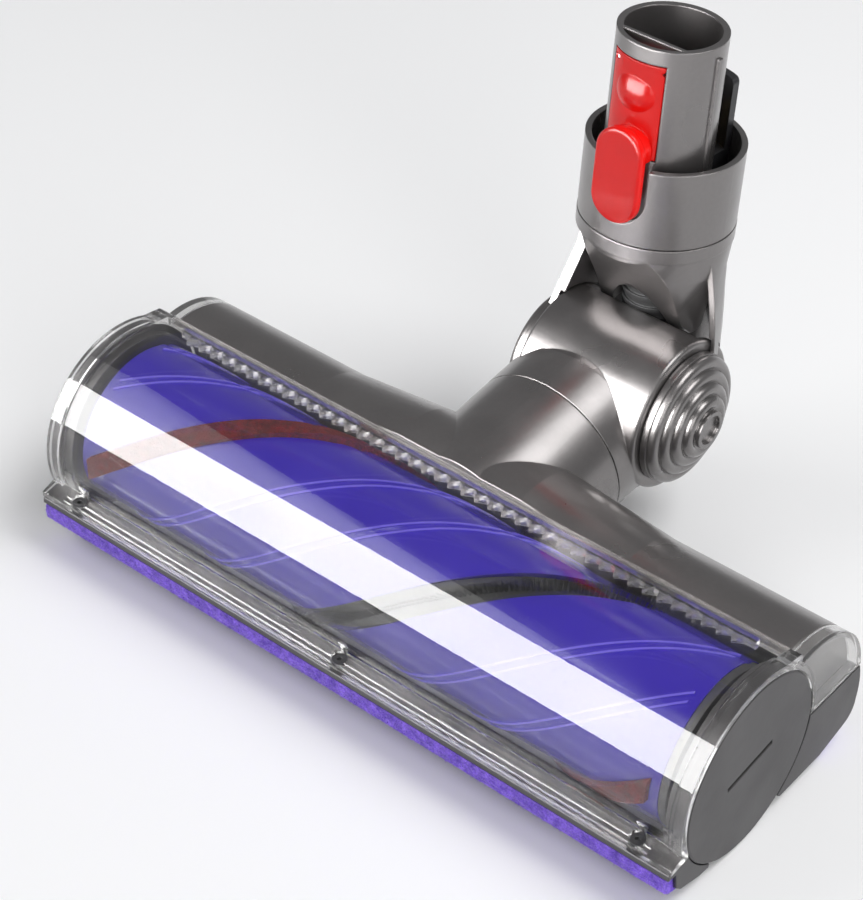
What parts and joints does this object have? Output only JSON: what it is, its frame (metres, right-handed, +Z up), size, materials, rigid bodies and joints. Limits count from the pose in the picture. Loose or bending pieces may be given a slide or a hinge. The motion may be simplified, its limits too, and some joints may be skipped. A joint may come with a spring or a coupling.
{
  "type": "motorized cleaner head",
  "caption": "Floor cleaner head with a motor-driven brush bar under a clear cover, a swivelling tilting neck and a tube socket with a release button.",
  "frame": {"origin": "middle of the bounding box's bottom face, on the floor", "axes": "+X along the brush bar towards the release cap, -Y towards the felt front, +Z up"},
  "size_m": [0.25, 0.1864, 0.1691],
  "materials": {
    "housing": "satin charcoal grey plastic",
    "base": "satin dark grey plastic",
    "clear": "clear smoky polycarbonate",
    "felt": "short violet felt",
    "core": "gloss blue violet",
    "plush": "dense dark red plush",
    "backing": "black strip",
    "bristle": "black bristles",
    "bar_plastic": "moulded dark plastic",
    "bush": "sintered bronze",
    "steel": "bright steel",
    "screw": "zinc-plated steel",
    "spring_steel": "spring steel",
    "magnet": "sintered ferrite",
    "armature": "laminated steel with copper",
    "mount": "die cast",
    "gear": "natural acetal",
    "wheel": "soft grey tread",
    "seal": "soft black rubber",
    "hose": "ribbed flexible hose",
    "duct": "moulded grey plastic",
    "button": "bright gloss red",
    "plug": "black moulded plastic",
    "blade": "plated brass",
    "board": "green laminate",
    "board_part": "black components"
  },
  "bodies": {
    "head": {"clear_cover": "clear", "vane_comb": "clear", "rear_housing": "housing", "air_duct": "duct", "base_frame": "base", "front_felt": "felt", "rear_felt": "felt", "motor_end_plate": "base", "motor_bucket": "bar_plastic", "motor_screws": "screw", "motor_can": "steel", "motor_magnets": "magnet", "motor_mount_ring": "mount", "motor_bearings": "steel", "ring_gear": "gear", "cover_screws": "screw", "sole_screws": "screw", "circuit_board": "board", "board_parts": "board_part", "wheel_axles": "steel", "roller_axles": "steel"},
    "brush_bar": {"brush_core": "core", "plush_strip": "plush", "plush_backing": "backing", "bristle_carrier": "backing", "bristle_strip": "bristle", "bar_end_plug": "bar_plastic", "cap_bush": "bush", "motor_end_bush": "bush", "planet_carrier": "bar_plastic", "planet_pins": "steel"},
    "rotor": {"motor_armature": "armature", "sun_gear": "gear"},
    "planet_1": {"planet_gear_1": "gear"},
    "planet_2": {"planet_gear_2": "gear"},
    "planet_3": {"planet_gear_3": "gear"},
    "cap": {"end_cap": "base", "cap_stub": "steel"},
    "rear_wheel_l": {"rear_wheel_left": "wheel"},
    "rear_wheel_r": {"rear_wheel_right": "wheel"},
    "front_roller_l": {"front_roller_left": "wheel"},
    "front_roller_r": {"front_roller_right": "wheel"},
    "neck": {"swivel_neck": "housing", "swivel_clip": "spring_steel", "neck_seal": "seal", "elbow_hose": "hose"},
    "wand": {"elbow_yoke": "housing", "elbow_cap_right": "housing", "elbow_cap_left": "housing", "elbow_pins": "steel", "inner_shield": "base", "wand_tube": "housing", "wand_collar": "housing", "yoke_screws": "screw", "button_pin": "steel", "button_spring": "spring_steel", "plug_block": "plug", "contact_blades": "blade"},
    "button": {"release_button": "button"}
  },
  "joints": [
    {"name": "bar_spin", "type": "hinge", "parent": "head", "child": "brush_bar", "pos_m": [0, -0.05514, 0.0315], "axis": [1, 0, 0], "continuous": true},
    {"name": "rotor_spin", "type": "hinge", "parent": "head", "child": "rotor", "pos_m": [0, -0.05514, 0.0315], "axis": [1, 0, 0], "continuous": true},
    {"name": "planet_1_spin", "type": "hinge", "parent": "brush_bar", "child": "planet_1", "pos_m": [0, -0.05514, 0.0399], "axis": [1, 0, 0], "continuous": true},
    {"name": "planet_2_spin", "type": "hinge", "parent": "brush_bar", "child": "planet_2", "pos_m": [0, -0.06242, 0.0273], "axis": [1, 0, 0], "continuous": true},
    {"name": "planet_3_spin", "type": "hinge", "parent": "brush_bar", "child": "planet_3", "pos_m": [0, -0.04787, 0.0273], "axis": [1, 0, 0], "continuous": true},
    {"name": "end_cap_turn", "type": "hinge", "parent": "head", "child": "cap", "pos_m": [0, -0.05514, 0.0315], "axis": [1, 0, 0], "range_deg": [0, 90]},
    {"name": "rear_wheel_left_spin", "type": "hinge", "parent": "head", "child": "rear_wheel_l", "pos_m": [-0.062, -0.00464, 0.007], "axis": [1, 0, 0], "continuous": true},
    {"name": "rear_wheel_right_spin", "type": "hinge", "parent": "head", "child": "rear_wheel_r", "pos_m": [0.062, -0.00464, 0.007], "axis": [1, 0, 0], "continuous": true},
    {"name": "front_roller_left_spin", "type": "hinge", "parent": "head", "child": "front_roller_l", "pos_m": [-0.088, -0.07974, 0.0034], "axis": [1, 0, 0], "continuous": true},
    {"name": "front_roller_right_spin", "type": "hinge", "parent": "head", "child": "front_roller_r", "pos_m": [0.088, -0.07974, 0.0034], "axis": [1, 0, 0], "continuous": true},
    {"name": "neck_swivel", "type": "hinge", "parent": "head", "child": "neck", "pos_m": [0, 0.01185, 0.0379], "axis": [0, 0.9943, 0.1063], "range_deg": [-90, 90]},
    {"name": "elbow_tilt", "type": "hinge", "parent": "neck", "child": "wand", "pos_m": [0, 0.04346, 0.0473], "axis": [1, 0, 0], "range_deg": [-80, 0], "deforming": ["elbow_hose"]},
    {"name": "button_press", "type": "hinge", "parent": "wand", "child": "button", "pos_m": [0, 0.05272, 0.16134], "axis": [1, 0, 0], "range_deg": [0, 2.6], "stiffness_Nm_per_rad": 0.35, "deforming": ["button_spring"]}
  ],
  "couplings": [
    {"joint": "rotor_spin", "follows": "bar_spin", "ratio": 4},
    {"joint": "planet_1_spin", "follows": "bar_spin", "ratio": -3},
    {"joint": "planet_2_spin", "follows": "bar_spin", "ratio": -3},
    {"joint": "planet_3_spin", "follows": "bar_spin", "ratio": -3}
  ]
}
